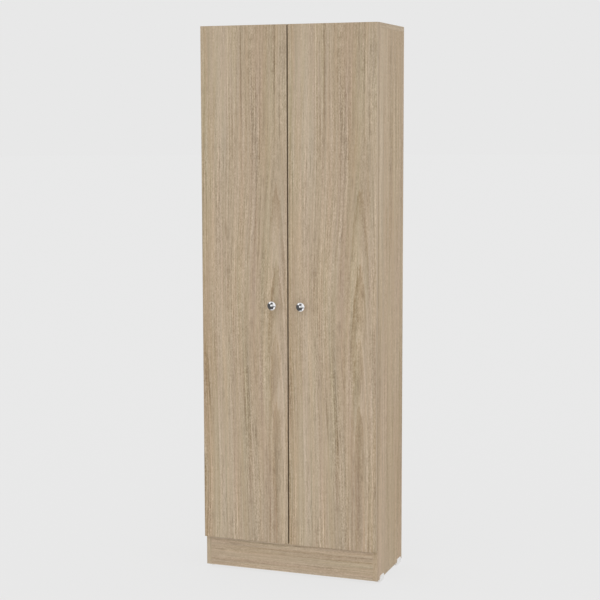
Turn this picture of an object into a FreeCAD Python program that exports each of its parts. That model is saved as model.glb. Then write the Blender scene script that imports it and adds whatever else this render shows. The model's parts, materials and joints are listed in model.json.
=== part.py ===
import FreeCAD, Part
import math
import os

import Sketcher
from FreeCAD import Vector, Placement, Rotation, Matrix

# Two-door broom cupboard: chipboard carcass with a full-height partition, full overlay doors on
# single-pivot concealed cup hinges, knobs, plinth, hardboard back and nail-on plastic feet.
#
# Frame (millimetres): origin on the floor under the middle of the whole object, +X to the right as
# seen from the front, the doors face -Y, +Z up.

doc = FreeCAD.newDocument("BroomCupboard")
sheet = doc.addObject("Spreadsheet::Sheet", "dims")
sheet.Label = "dims"

CELLS = [
    # overall
    ("width", 600.0, "outside width over the side panels"),
    ("height", 1800.0, "floor to the top of the top panel"),
    ("board", 16.0, "thickness of every carcass board"),
    ("boarddepth", 279.2, "depth of sides, top, bottom and partition"),
    ("backthick", 3.0, "hardboard back leaf"),
    ("backinset", 1.5, "back leaf stops this far inside the carcass outline"),
    ("headproud", 0.6, "nail heads standing out behind the back leaf"),
    ("edgeround", 0.4, "rounding of board edges"),
    ("plinthhigh", 100.0, "height of the plinth board"),
    ("shelfsetback", 12.0, "shelf front edge behind the carcass front"),
    ("shelfdepth", 266.0, "front to back of a shelf"),
    ("shelfplay", 1.5, "width a loose shelf is short of its bay"),
    # doors
    ("doorthick", 16.0, "door panel thickness"),
    ("doorgap", 1.8, "closed door to carcass front"),
    ("doorreveal", 0.5, "door edge inside the carcass outline"),
    ("doorsplit", 4.0, "gap between the two doors"),
    ("doorbottom", 109.5, "height of the door's lower edge"),
    ("dooredge", 1.0, "rounding of the door's edges"),
    # knob
    ("knobout", 24.0, "knob projection from the door"),
    ("knobhalf", 15.0, "knob head radius"),
    ("knobfoot", 9.0, "knob base radius"),
    ("knobneck", 6.0, "knob neck radius"),
    ("knobinset", 47.5, "knob centre from the door's free edge"),
    ("knobheight", 900.0, "knob centre above the floor"),
    # hinges, measured from the side panel's outer face and front edge
    ("pinin", 6.6, "pivot pin from the side's outer face"),
    ("pinfront", 12.2, "pivot pin in front of the side's front edge"),
    ("pinhalf", 0.98, "pivot pin radius"),
    ("eyebore", 1.04, "bore radius of the arm's eye"),
    ("eyehalf", 1.75, "outer radius of the arm's eye"),
    ("cupin", 21.0, "cup centre from the side's outer face"),
    ("cupbore", 17.5, "radius of the cup bore in the door"),
    ("cuphalf", 17.4, "cup outer radius"),
    ("cupdeep", 13.2, "depth of the cup bore"),
    ("hingelow", 209.5, "lower hinge height"),
    ("hingemid", 954.5, "middle hinge height"),
    ("hingehigh", 1699.5, "upper hinge height"),
    ("platefrom", 37.0, "mounting plate screws behind the front edge"),
    ("platescrew", 16.0, "plate screws above and below the hinge height"),
    ("cupscrew", 24.0, "cup screws above and below the hinge height"),
    ("cupscrewin", 27.0, "cup screws from the side's outer face"),
    # board joints
    ("camhalf", 7.4, "cam lock radius"),
    ("campocket", 7.6, "cam pocket radius"),
    ("camdeep", 12.6, "cam pocket depth"),
    ("camback", 34.0, "cam centre from the board's end"),
    ("boltbore", 4.1, "radius of the bolt's bore in a board end"),
    ("boltpilot", 2.5, "radius of the bolt's pilot hole"),
    ("boltpilotdeep", 11.0, "depth of the bolt's pilot hole"),
    ("dowelhalf", 3.95, "dowel radius"),
    ("dowelbore", 4.0, "dowel hole radius"),
    ("dowelface", 10.5, "dowel hole depth in a face"),
    ("dowelend", 20.5, "dowel hole depth in an end"),
    ("camfront", 50.0, "front cam behind the carcass front"),
    ("camrear", 230.0, "rear cam behind the carcass front"),
    ("dowelfront", 82.0, "front dowel behind the carcass front"),
    ("dowelrear", 198.0, "rear dowel behind the carcass front"),
    # shelves
    ("broomshelf", 1500.0, "underside of the shelf over the broom bay"),
    ("fixedshelf", 1030.0, "underside of the fixed shelf"),
    ("loosea", 400.0, "underside of adjustable shelf 1"),
    ("looseb", 700.0, "underside of adjustable shelf 2"),
    ("loosec", 1290.0, "underside of adjustable shelf 3"),
    ("loosed", 1540.0, "underside of adjustable shelf 4"),
    ("pinpitch", 32.0, "pitch of the shelf pin holes"),
    ("peghalf", 2.45, "shelf pin radius"),
    ("pegbore", 2.5, "shelf pin hole radius"),
    ("pegdeep", 9.0, "shelf pin hole depth"),
    # feet
    ("foothigh", 10.0, "plastic foot below the side panel"),
    ("footwing", 11.0, "foot wing up the panel's faces"),
    ("footskin", 2.0, "foot wing thickness"),
    ("footlong", 40.0, "length of a foot"),
    ("footnail", 11.0, "nail in a foot, either side of its middle"),
    ("footfront", 26.0, "front foot behind the side's front edge"),
    ("footrear", 15.0, "rear foot ahead of the side's rear edge"),
]


class Q:
    """A size: its expression for the sheet and its value."""

    def __init__(self, text, value):
        self.text, self.value = text, float(value)

    def __add__(self, o):
        o = q(o)
        return Q("(%s + %s)" % (self.text, o.text), self.value + o.value)

    def __sub__(self, o):
        o = q(o)
        return Q("(%s - %s)" % (self.text, o.text), self.value - o.value)

    def __mul__(self, o):
        o = q(o)
        return Q("(%s * %s)" % (self.text, o.text), self.value * o.value)

    def __truediv__(self, o):
        o = q(o)
        return Q("(%s / %s)" % (self.text, o.text), self.value / o.value)

    def __radd__(self, o):
        return q(o) + self

    def __rsub__(self, o):
        return q(o) - self

    def __rmul__(self, o):
        return q(o) * self

    def __neg__(self):
        return Q("(0 - %s)" % self.text, -self.value)


def q(o):
    return o if isinstance(o, Q) else Q(repr(float(o)), o)


class Sizes:
    pass


D = Sizes()
for row, (alias, number, note) in enumerate(CELLS, 1):
    sheet.set("A%d" % row, alias)
    sheet.set("B%d" % row, str(number))
    sheet.setAlias("B%d" % row, alias)
    sheet.set("C%d" % row, note)
doc.recompute()
for alias, number, note in CELLS:
    setattr(D, alias, Q("dims." + alias, float(getattr(sheet, alias))))

ZERO = q(0.0)
# planes of the whole object
front = -0.5 * (D.knobout + D.doorthick + D.doorgap + D.boarddepth + D.backthick + D.headproud) + (
    D.knobout + D.doorthick + D.doorgap
)  # carcass front plane, y
rear = front + D.boarddepth
doorinner = front - D.doorgap
doorfront = doorinner - D.doorthick
left = -0.5 * D.width
sidehigh = D.height - D.board - D.foothigh
floorz = D.foothigh + D.plinthhigh  # underside of the bottom panel
inside = D.width - 2 * D.board
bay = (D.width - 3 * D.board) / 2
parthigh = D.height - D.board - floorz - D.board
doorhigh = D.height - 0.5 - D.doorbottom
doorwide = (D.width - 2 * D.doorreveal - D.doorsplit) / 2

PARTS = {}  # label -> document object


# ---------------------------------------------------------------- sketch helpers
def plane_of(body, role):
    for feature in body.Origin.OriginFeatures:
        if feature.Role == role:
            return feature
    raise RuntimeError("no plane " + role)


def new_body(label, at=(ZERO, ZERO, ZERO), part=True):
    body = doc.addObject("PartDesign::Body", "Body_" + label)
    body.Label = label
    body.Placement = Placement(Vector(*[c.value for c in map(q, at)]), Rotation())
    for axis, c in zip("xyz", at):
        body.setExpression("Placement.Base." + axis, q(c).text)
    if part:
        PARTS[label] = body
    return body


def new_sketch(body, name, role, offset=None):
    sk = body.newObject("Sketcher::SketchObject", name)
    sk.AttachmentSupport = [(plane_of(body, role), "")]
    sk.MapMode = "FlatFace"
    if offset is not None:
        sk.AttachmentOffset = Placement(Vector(0, 0, q(offset).value), Rotation())
        sk.setExpression("AttachmentOffset.Base.z", q(offset).text)
    return sk


def pin_point(sk, geo, pos, x, y):
    """Bind a point of the sketch to two sizes."""
    x, y = q(x), q(y)
    for kind, axis, c in (("DistanceX", -2, x), ("DistanceY", -1, y)):
        if abs(c.value) < 1e-9:
            sk.addConstraint(Sketcher.Constraint("PointOnObject", geo, pos, axis))
        else:
            n = sk.addConstraint(Sketcher.Constraint(kind, -1, 1, geo, pos, c.value))
            sk.setExpression("Constraints[%d]" % n, c.text)


def outline(sk, pts):
    """Closed outline through pts = (x, y) or (x, y, r): r > 0 runs to the next point on an arc
    turning left, r < 0 on one turning right. Every point and radius is bound to its size."""
    ends, n = [], len(pts)
    for i in range(n):
        a, b = pts[i], pts[(i + 1) % n]
        p = Vector(q(a[0]).value, q(a[1]).value, 0)
        s = Vector(q(b[0]).value, q(b[1]).value, 0)
        if len(a) > 2 and a[2] is not None:
            r = q(a[2])
            chord = s - p
            half = chord.Length / 2
            side = 1.0 if r.value > 0 else -1.0
            h = math.sqrt(max(r.value ** 2 - half ** 2, 0.0))
            normal = Vector(-chord.y, chord.x, 0).normalize()
            c = (p + s) * 0.5 + normal * (h * side)
            first, last = (p, s) if side > 0 else (s, p)
            a0 = math.atan2(first.y - c.y, first.x - c.x)
            a1 = math.atan2(last.y - c.y, last.x - c.x)
            if a1 <= a0:
                a1 += 2 * math.pi
            g = sk.addGeometry(Part.ArcOfCircle(Part.Circle(c, Vector(0, 0, 1), abs(r.value)), a0, a1), False)
            ends.append((g, 1, 2) if side > 0 else (g, 2, 1))
            if len(a) > 3:  # an arc whose centre lies on the turning axis
                sk.addConstraint(Sketcher.Constraint("PointOnObject", g, 3, -2))
            else:
                m = sk.addConstraint(Sketcher.Constraint("Radius", g, abs(r.value)))
                sk.setExpression("Constraints[%d]" % m, r.text if side > 0 else (-r).text)
        else:
            g = sk.addGeometry(Part.LineSegment(p, s), False)
            ends.append((g, 1, 2))
    for i in range(n):
        g, a, b = ends[i]
        g2, a2, b2 = ends[(i + 1) % n]
        sk.addConstraint(Sketcher.Constraint("Coincident", g, b, g2, a2))
    for i in range(n):
        g, a, b = ends[i]
        pin_point(sk, g, a, pts[i][0], pts[i][1])


def rect(sk, x, y, w, h):
    x, y, w, h = q(x), q(y), q(w), q(h)
    outline(sk, [(x, y), (x + w, y), (x + w, y + h), (x, y + h)])


def circles(sk, centres, radius):
    radius = q(radius)
    first = None
    for x, y in centres:
        c = Part.Circle(Vector(q(x).value, q(y).value, 0), Vector(0, 0, 1), radius.value)
        g = sk.addGeometry(c, False)
        if first is None:
            n = sk.addConstraint(Sketcher.Constraint("Radius", g, radius.value))
            sk.setExpression("Constraints[%d]" % n, radius.text)
            first = g
        else:
            sk.addConstraint(Sketcher.Constraint("Equal", first, g))
        pin_point(sk, g, 3, x, y)


def pad(body, name, sk, length, both=False, back=False):
    f = body.newObject("PartDesign::Pad", name)
    f.Profile = sk
    f.Length = q(length).value
    f.setExpression("Length", q(length).text)
    f.Midplane = both
    f.Reversed = back
    before = volume(body)
    doc.recompute()
    if volume(body) <= before + 1e-6:
        raise RuntimeError(name + " added nothing")
    return f


def pocket(body, name, sk, length, both=False, back=False, through=False):
    f = body.newObject("PartDesign::Pocket", name)
    f.Profile = sk
    f.Length = q(length).value
    f.setExpression("Length", q(length).text)
    f.Midplane = both
    f.Reversed = back
    before = volume(body)
    doc.recompute()
    if volume(body) >= before - 1e-6:
        raise RuntimeError(name + " cut nothing")
    return f


def revolve(body, name, sk):
    f = body.newObject("PartDesign::Revolution", name)
    f.Profile = sk
    f.ReferenceAxis = (sk, ["V_Axis"])
    f.Angle = 360.0
    doc.recompute()
    return f


def volume(body):
    shape = body.Shape
    return 0.0 if shape.isNull() else shape.Volume


def soften(body, name, base, radius, pick=None, chamfer=False):
    edges = []
    for i, e in enumerate(base.Shape.Edges, 1):
        if pick is None or pick(e):
            edges.append("Edge%d" % i)
    if not edges:
        raise RuntimeError(name + " found no edge")
    f = body.newObject("PartDesign::Chamfer" if chamfer else "PartDesign::Fillet", name)
    f.Base = (base, edges)
    key = "Size" if chamfer else "Radius"
    setattr(f, key, q(radius).value)
    f.setExpression(key, q(radius).text)
    doc.recompute()
    return f


FACE = {
    # face: plane, sign of the offset along the plane's normal, whether the cut runs with the normal
    "x0": ("YZ_Plane", 0, True),
    "x1": ("YZ_Plane", 1, False),
    "y0": ("XZ_Plane", 0, False),
    "y1": ("XZ_Plane", -1, True),
    "z0": ("XY_Plane", 0, True),
    "z1": ("XY_Plane", 1, False),
}


def board(label, w, d, t, at, holes=(), edge=None):
    """A board w by d by t along X, Y and Z with its low corner at 'at'. Each hole group is
    (name, face, centres, radius, depth); centres are in the board's own coordinates: (y, z) on
    an x face, (x, z) on a y face and (x, y) on a z face."""
    b = new_body(label, at)
    sk = new_sketch(b, label + "_outline", "XY_Plane")
    rect(sk, ZERO, ZERO, w, d)
    blank = pad(b, label + "_blank", sk, t)
    soften(b, label + "_edges", blank, edge or D.edgeround)
    size = {"x": q(w), "y": q(d), "z": q(t)}
    for name, face, centres, radius, depth in holes:
        role, sign, with_normal = FACE[face]
        off = None if sign == 0 else (size[face[0]] if sign > 0 else -size[face[0]])
        sk = new_sketch(b, "%s_%s_sketch" % (label, name), role, off)
        circles(sk, centres, radius)
        pocket(b, "%s_%s" % (label, name), sk, depth, back=with_normal)
    return b


def frame_at(p, zdir, xdir=None):
    """Placement that takes local +Z to zdir and local +X to xdir, at point p."""
    z = Vector(*zdir).normalize()
    if xdir is None:
        xdir = (1, 0, 0) if abs(z.x) < 0.9 else (0, 1, 0)
    x = Vector(*xdir)
    x = (x - z * x.dot(z)).normalize()
    y = z.cross(x)
    m = Matrix(x.x, y.x, z.x, p[0], x.y, y.y, z.y, p[1], x.z, y.z, z.z, p[2], 0, 0, 0, 1)
    return Placement(m)


def group(label, master, places):
    """Identical small pieces: one separate solid at each place."""
    solids = []
    base = master.Shape.copy()
    base.Placement = Placement()
    for p in places:
        s = base.copy()
        s.Placement = p
        solids.append(s)
    f = doc.addObject("Part::Feature", "Group_" + label)
    f.Shape = Part.makeCompound(solids)
    f.Label = label
    f.Placement = Placement()
    PARTS[label] = f
    return f


# ---------------------------------------------------------------- where the joints are
# every board joint: a point of the joint line, the direction into the board whose end is bored,
# and the face of that board that shows the cams
cams, bolts, dowels = [], [], []
V = {k: getattr(D, k).value for k in ("camfront", "camrear", "dowelfront", "dowelrear", "camback", "board")}


def board_joint(x, z, into, show, fronts=(V["camfront"], V["camrear"]), pegs=(V["dowelfront"], V["dowelrear"])):
    for v in fronts:
        m = Vector(x, front.value + v, z)
        bolts.append(frame_at(m, into))
        c = m + Vector(*into) * V["camback"] + Vector(*show) * (V["board"] / 2)
        cams.append(frame_at(c, show, into))
    for v in pegs:
        dowels.append(frame_at(Vector(x, front.value + v, z), into))


half = D.board / 2
camrow = [D.camfront, D.camrear]
pegrow = [D.dowelfront, D.dowelrear]
hinges = [D.hingelow, D.hingemid, D.hingehigh]
loose = [D.loosea, D.looseb, D.loosec, D.loosed]

# ---------------------------------------------------------------- side panels
bottommid = floorz + half - D.foothigh  # middle of the bottom panel, in the side's own height


def side_holes(face, shelves, pegs):
    holes = [
        ("cam_pockets", face, [(v, sidehigh - D.camback) for v in camrow], D.campocket, D.camdeep),
        ("top_bolt_bores", "z1", [(half, v) for v in camrow], D.boltbore, D.camback),
        ("top_dowel_holes", "z1", [(half, v) for v in pegrow], D.dowelbore, D.dowelend),
        (
            "bolt_pilots",
            face,
            [(v, bottommid) for v in camrow]
            + [(half, D.plinthhigh / 2)]
            + [(v, s + half - D.foothigh) for s in shelves for v in camrow],
            D.boltpilot,
            D.boltpilotdeep,
        ),
        (
            "dowel_holes",
            face,
            [(v, bottommid) for v in pegrow]
            + [(half, q(25.0)), (half, q(75.0))]
            + [(v, s + half - D.foothigh) for s in shelves for v in pegrow],
            D.dowelbore,
            D.dowelface,
        ),
        (
            "hinge_plate_pilots",
            face,
            [(D.platefrom, z - D.foothigh + s * D.platescrew) for z in hinges for s in (-1, 1)],
            q(2.95),
            q(11.6),
        ),
    ]
    if pegs:
        holes.append(
            (
                "shelf_pin_holes",
                face,
                [
                    (v, z - D.foothigh - D.peghalf + k * D.pinpitch)
                    for z in loose
                    for v in camrow
                    for k in (-1, 0, 1)
                ],
                D.pegbore,
                D.pegdeep,
            )
        )
    return holes


board(
    "left_side_panel", D.board, D.boarddepth, sidehigh, (left, front, D.foothigh),
    side_holes("x1", [D.broomshelf], False),
)
board(
    "right_side_panel", D.board, D.boarddepth, sidehigh, (-left - D.board, front, D.foothigh),
    side_holes("x0", [D.fixedshelf], True),
)

# ---------------------------------------------------------------- top, bottom, partition, plinth
uprights = [half, D.width / 2, D.width - half]
board(
    "top_panel", D.width, D.boarddepth, D.board, (left, front, D.height - D.board),
    [
        ("bolt_pilots", "z0", [(x, v) for x in uprights for v in camrow], D.boltpilot, D.boltpilotdeep),
        ("dowel_holes", "z0", [(x, v) for x in uprights for v in pegrow], D.dowelbore, D.dowelface),
    ],
)
board(
    "bottom_panel", inside, D.boarddepth, D.board, (left + D.board, front, floorz),
    [
        ("cam_pockets", "z0", [(x, v) for x in (D.camback, inside - D.camback) for v in camrow], D.campocket, D.camdeep),
        ("left_bolt_bores", "x0", [(v, half) for v in camrow], D.boltbore, D.camback),
        ("right_bolt_bores", "x1", [(v, half) for v in camrow], D.boltbore, D.camback),
        ("left_dowel_holes", "x0", [(v, half) for v in pegrow], D.dowelbore, D.dowelend),
        ("right_dowel_holes", "x1", [(v, half) for v in pegrow], D.dowelbore, D.dowelend),
        ("partition_bolt_pilots", "z1", [(inside / 2, v) for v in camrow], D.boltpilot, D.boltpilotdeep),
        ("partition_dowel_holes", "z1", [(inside / 2, v) for v in pegrow], D.dowelbore, D.dowelface),
        ("plinth_dowel_holes", "z0", [(q(100.0), half), (inside - 100.0, half)], D.dowelbore, D.dowelface),
    ],
)
shelfabove = [D.broomshelf + half - floorz - D.board]
shelfright = [D.fixedshelf + half - floorz - D.board]
board(
    "centre_partition", D.board, D.boarddepth, parthigh, (-half, front, floorz + D.board),
    [
        ("cam_pockets", "x0", [(v, z) for z in (D.camback, parthigh - D.camback) for v in camrow], D.campocket, D.camdeep),
        ("top_bolt_bores", "z1", [(half, v) for v in camrow], D.boltbore, D.camback),
        ("low_bolt_bores", "z0", [(half, v) for v in camrow], D.boltbore, D.camback),
        ("top_dowel_holes", "z1", [(half, v) for v in pegrow], D.dowelbore, D.dowelend),
        ("low_dowel_holes", "z0", [(half, v) for v in pegrow], D.dowelbore, D.dowelend),
        ("left_bolt_pilots", "x0", [(v, z) for z in shelfabove for v in camrow], D.boltpilot, D.boltpilotdeep),
        ("left_dowel_holes", "x0", [(v, z) for z in shelfabove for v in pegrow], D.dowelbore, D.dowelface),
        ("right_bolt_pilots", "x1", [(v, z) for z in shelfright for v in camrow], D.boltpilot, D.boltpilotdeep),
        ("right_dowel_holes", "x1", [(v, z) for z in shelfright for v in pegrow], D.dowelbore, D.dowelface),
        (
            "shelf_pin_holes", "x1",
            [
                (v, z - floorz - D.board - D.peghalf + k * D.pinpitch)
                for z in loose
                for v in camrow
                for k in (-1, 0, 1)
            ],
            D.pegbore, D.pegdeep,
        ),
    ],
)
board(
    "plinth_board", inside, D.board, D.plinthhigh, (left + D.board, front, D.foothigh),
    [
        ("cam_pockets", "y1", [(x, D.plinthhigh / 2) for x in (D.camback, inside - D.camback)], D.campocket, D.camdeep),
        ("left_bolt_bore", "x0", [(half, D.plinthhigh / 2)], D.boltbore, D.camback),
        ("right_bolt_bore", "x1", [(half, D.plinthhigh / 2)], D.boltbore, D.camback),
        ("left_dowel_holes", "x0", [(half, q(25.0)), (half, q(75.0))], D.dowelbore, D.dowelend),
        ("right_dowel_holes", "x1", [(half, q(25.0)), (half, q(75.0))], D.dowelbore, D.dowelend),
        ("top_dowel_holes", "z1", [(q(100.0), half), (inside - 100.0, half)], D.dowelbore, D.dowelend),
    ],
)

# ---------------------------------------------------------------- shelves
shelfcams = [v - D.shelfsetback for v in camrow]
shelfpegs = [v - D.shelfsetback for v in pegrow]


def fixed_shelf(label, x, z):
    board(
        label, bay, D.shelfdepth, D.board, (x, front + D.shelfsetback, z),
        [
            ("cam_pockets", "z0", [(u, v) for u in (D.camback, bay - D.camback) for v in shelfcams], D.campocket, D.camdeep),
            ("left_bolt_bores", "x0", [(v, half) for v in shelfcams], D.boltbore, D.camback),
            ("right_bolt_bores", "x1", [(v, half) for v in shelfcams], D.boltbore, D.camback),
            ("left_dowel_holes", "x0", [(v, half) for v in shelfpegs], D.dowelbore, D.dowelend),
            ("right_dowel_holes", "x1", [(v, half) for v in shelfpegs], D.dowelbore, D.dowelend),
        ],
    )


fixed_shelf("broom_bay_shelf", left + D.board, D.broomshelf)
fixed_shelf("fixed_shelf", half, D.fixedshelf)
for n, z in enumerate(loose, 1):
    board(
        "adjustable_shelf_%d" % n, bay - D.shelfplay, D.shelfdepth, D.board,
        (half + D.shelfplay / 2, front + D.shelfsetback, z),
    )

# ---------------------------------------------------------------- hardboard back in two leaves
leafwide = D.width / 2 - D.backinset - 0.25
leafhigh = D.height - D.backinset - floorz - D.backinset
board("back_panel_left", leafwide, D.backthick, leafhigh, (left + D.backinset, rear, floorz + D.backinset), edge=q(0.2))
board("back_panel_right", leafwide, D.backthick, leafhigh, (q(0.25), rear, floorz + D.backinset), edge=q(0.2))

# ---------------------------------------------------------------- doors
for label, x, sign in (("left_door", left + D.doorreveal, 1), ("right_door", D.doorsplit / 2, -1)):
    cupx = D.cupin - D.doorreveal
    screwx = D.cupscrewin - D.doorreveal
    knobx = doorwide - D.knobinset
    if sign < 0:
        cupx, screwx, knobx = doorwide - cupx, doorwide - screwx, D.knobinset
    board(
        label, doorwide, D.doorthick, doorhigh, (x, doorfront, D.doorbottom),
        [
            ("cup_bores", "y1", [(cupx, z - D.doorbottom) for z in hinges], D.cupbore, D.cupdeep),
            (
                "cup_screw_pilots", "y1",
                [(screwx, z - D.doorbottom + s * D.cupscrew) for z in hinges for s in (-1, 1)],
                q(1.55), q(12.5),
            ),
            ("knob_hole", "y1", [(knobx, D.knobheight - D.doorbottom)], q(2.2), D.doorthick),
        ],
        edge=D.dooredge,
    )

# ---------------------------------------------------------------- knobs and their screws
for side, sign in (("left", -1), ("right", 1)):
    x = sign * (D.doorsplit / 2 + D.knobinset)
    b = new_body(side + "_knob", (x, doorfront, D.knobheight))
    # turned profile: radius along X, projection along the axis; the axis is set to -Y below
    sk = new_sketch(b, side + "_knob_profile", "XZ_Plane")
    R, F, N, H = D.knobhalf, D.knobfoot, D.knobneck, D.knobout
    # foot, fillet, neck, flare, rolled rim and shallow dome, each tangent to the next
    outline(
        sk,
        [
            (q(2.0), ZERO),
            (F, ZERO),
            (F, q(1.2), q(1.2)),
            (F - 1.2, q(2.4)),
            (N + 1.5, q(2.4), q(-1.5)),
            (N, q(3.9)),
            (N, H - 19.342, q(-10.478)),
            (R - 2.106, H - 9.497, q(3.2)),
            (R - 1.54386, H - 3.75288, q(26.0), "axis"),
            (ZERO, H),
            (ZERO, q(14.0)),
            (q(2.0), q(14.0)),
        ],
    )
    revolve(b, side + "_knob_turning", sk)
    b.setExpression("Placement.Base.x", x.text)
    b.Placement = Placement(Vector(x.value, doorfront.value, D.knobheight.value), Rotation(Vector(1, 0, 0), 90))

    # pan head machine screw from inside the door
    b = new_body(side + "_knob_screw", (x, doorinner, D.knobheight))
    sk = new_sketch(b, side + "_knob_screw_profile", "XZ_Plane")
    outline(
        sk,
        [
            (ZERO, q(-2.4)),
            (q(2.4), q(-2.4), q(2.4)),
            (q(4.0), q(-1.0)),
            (q(4.0), ZERO),
            (q(1.95), ZERO),
            (q(1.95), D.doorthick + 9.6),
            (q(1.55), D.doorthick + 10.0),
            (ZERO, D.doorthick + 10.0),
        ],
    )
    revolve(b, side + "_knob_screw_turning", sk)
    sk = new_sketch(b, side + "_knob_screw_recess_a", "XY_Plane", q(-2.4))
    rect(sk, q(-2.0), q(-0.4), q(4.0), q(0.8))
    pocket(b, side + "_knob_screw_slot_a", sk, q(1.1), back=True)
    sk = new_sketch(b, side + "_knob_screw_recess_b", "XY_Plane", q(-2.4))
    rect(sk, q(-0.4), q(-2.0), q(0.8), q(4.0))
    pocket(b, side + "_knob_screw_slot_b", sk, q(1.1), back=True)
    b.Placement = Placement(Vector(x.value, doorinner.value, D.knobheight.value), Rotation(Vector(1, 0, 0), 90))

# ---------------------------------------------------------------- concealed hinges
# Single-pivot cup hinge. In the hinge's own coordinates x is measured inward from the side
# panel's outer face, y backward from its front edge and z from the hinge height; s mirrors it.
NAMES = [("top", D.hingehigh), ("middle", D.hingemid), ("bottom", D.hingelow)]
for side, s in (("left", 1), ("right", -1)):
    for where, z in NAMES:
        name = "%s_%s_hinge" % (side, where)
        at = (s * left, front, z)

        # die-cast cup in the door: a drum with a flange on the door's inner face, a slot for the
        # arm and a cross bore for the pivot pin
        b = new_body(name + "_cup", at)
        sk = new_sketch(b, name + "_cup_circle", "XZ_Plane", D.doorgap)
        circles(sk, [(s * D.cupin, ZERO)], D.cuphalf)
        pad(b, name + "_cup_drum", sk, D.cupdeep - 0.1)
        sk = new_sketch(b, name + "_cup_flange_outline", "XZ_Plane", D.doorgap - 1.0)
        pts = [(8.0, -13.0), (16.5, -21.0), (20.5, -29.0), (23.0, -31.0), (31.0, -31.0), (33.5, -29.0), (38.8, -10.0),
               (38.8, 10.0), (33.5, 29.0), (31.0, 31.0), (23.0, 31.0), (20.5, 29.0), (16.5, 21.0), (8.0, 13.0)]
        outline(sk, [(q(s * u), q(w)) for u, w in (pts if s > 0 else pts[::-1])])
        pad(b, name + "_cup_flange", sk, q(1.0))
        sk = new_sketch(b, name + "_cup_opening", "XZ_Plane", D.doorgap - 1.0)
        pts = [(4.35, -3.3), (11.5, -3.3), (11.5, -8.6), (33.6, -8.6), (35.6, -4.0), (35.6, 4.0), (33.6, 8.6), (11.5, 8.6),
               (11.5, 3.3), (4.35, 3.3)]
        outline(sk, [(q(s * u), q(w)) for u, w in (pts if s > 0 else pts[::-1])])
        # cuts away from the sketch, along -Y
        pocket(b, name + "_cup_slot", sk, D.cupdeep + 0.4, back=True)
        sk = new_sketch(b, name + "_cup_screw_sketch", "XZ_Plane", D.doorgap - 1.0)
        circles(sk, [(s * D.cupscrewin, D.cupscrew), (s * D.cupscrewin, -D.cupscrew)], q(1.9))
        pocket(b, name + "_cup_screw_holes", sk, q(1.0), back=True)
        sk = new_sketch(b, name + "_cup_pin_sketch", "XY_Plane")
        circles(sk, [(s * D.pinin, -D.pinfront)], D.pinhalf + 0.02)
        pocket(b, name + "_cup_pin_bore", sk, q(15.9), both=True)

        # stamped arm: an eye on the pin, a narrow tongue along the cup's floor, then a channel
        # that runs back over the mounting plate
        b = new_body(name + "_arm", at)
        sk = new_sketch(b, name + "_arm_side_view", "XY_Plane")
        px, py = D.pinin, -D.pinfront
        pts = [
            (px, py - 1.0),
            (q(20.2), py - 1.75, q(2.3)),
            (q(22.5), py + 0.55),
            (q(22.5), q(50.0)),
            (q(20.5), q(50.0)),
            (q(20.5), py + 1.3, q(-0.7)),
            (q(19.8), py + 0.6),
            (px, py + 1.0),
        ]
        if s < 0:
            pts = [
                (-px, py - 1.0),
                (-px, py + 1.0),
                (q(-19.8), py + 0.6, q(-0.7)),
                (q(-20.5), py + 1.3),
                (q(-20.5), q(50.0)),
                (q(-22.5), q(50.0)),
                (q(-22.5), py + 0.55, q(2.3)),
                (q(-20.2), py - 1.75),
            ]
        outline(sk, pts)
        pad(b, name + "_arm_blank", sk, q(13.0), both=True)
        for tag, off, back in (("upper", q(3.0), True), ("lower", q(-3.0), False)):
            sk = new_sketch(b, "%s_arm_%s_relief_sketch" % (name, tag), "XY_Plane", off)
            x0, x1 = (q(2.0), q(20.4)) if s > 0 else (q(-20.4), q(-2.0))
            rect(sk, x0, q(-16.0), x1 - x0, q(13.0))
            pocket(b, "%s_arm_%s_relief" % (name, tag), sk, q(5.0), back=back)
        sk = new_sketch(b, name + "_arm_eye_circle", "XY_Plane")
        circles(sk, [(s * px, py)], D.eyehalf)
        pad(b, name + "_arm_eye", sk, q(6.0), both=True)
        for tag, off, back in (("upper", q(5.2), False), ("lower", q(-5.2), True)):
            sk = new_sketch(b, "%s_arm_%s_wall_sketch" % (name, tag), "XY_Plane", off)
            x0 = q(17.8) if s > 0 else q(-21.5)
            rect(sk, x0, q(14.0), q(3.7), q(36.0))
            pad(b, "%s_arm_%s_wall" % (name, tag), sk, q(1.3), back=back)
        sk = new_sketch(b, name + "_arm_bore_circle", "XY_Plane")
        circles(sk, [(s * px, py)], D.eyebore)
        pocket(b, name + "_arm_bore", sk, q(8.0), both=True)
        sk = new_sketch(b, name + "_arm_screw_sketch", "YZ_Plane", q(22.5) if s > 0 else q(-20.5))
        circles(sk, [(q(20.0), ZERO), (q(42.0), ZERO)], q(2.1))
        pocket(b, name + "_arm_screw_holes", sk, q(2.0))

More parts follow.
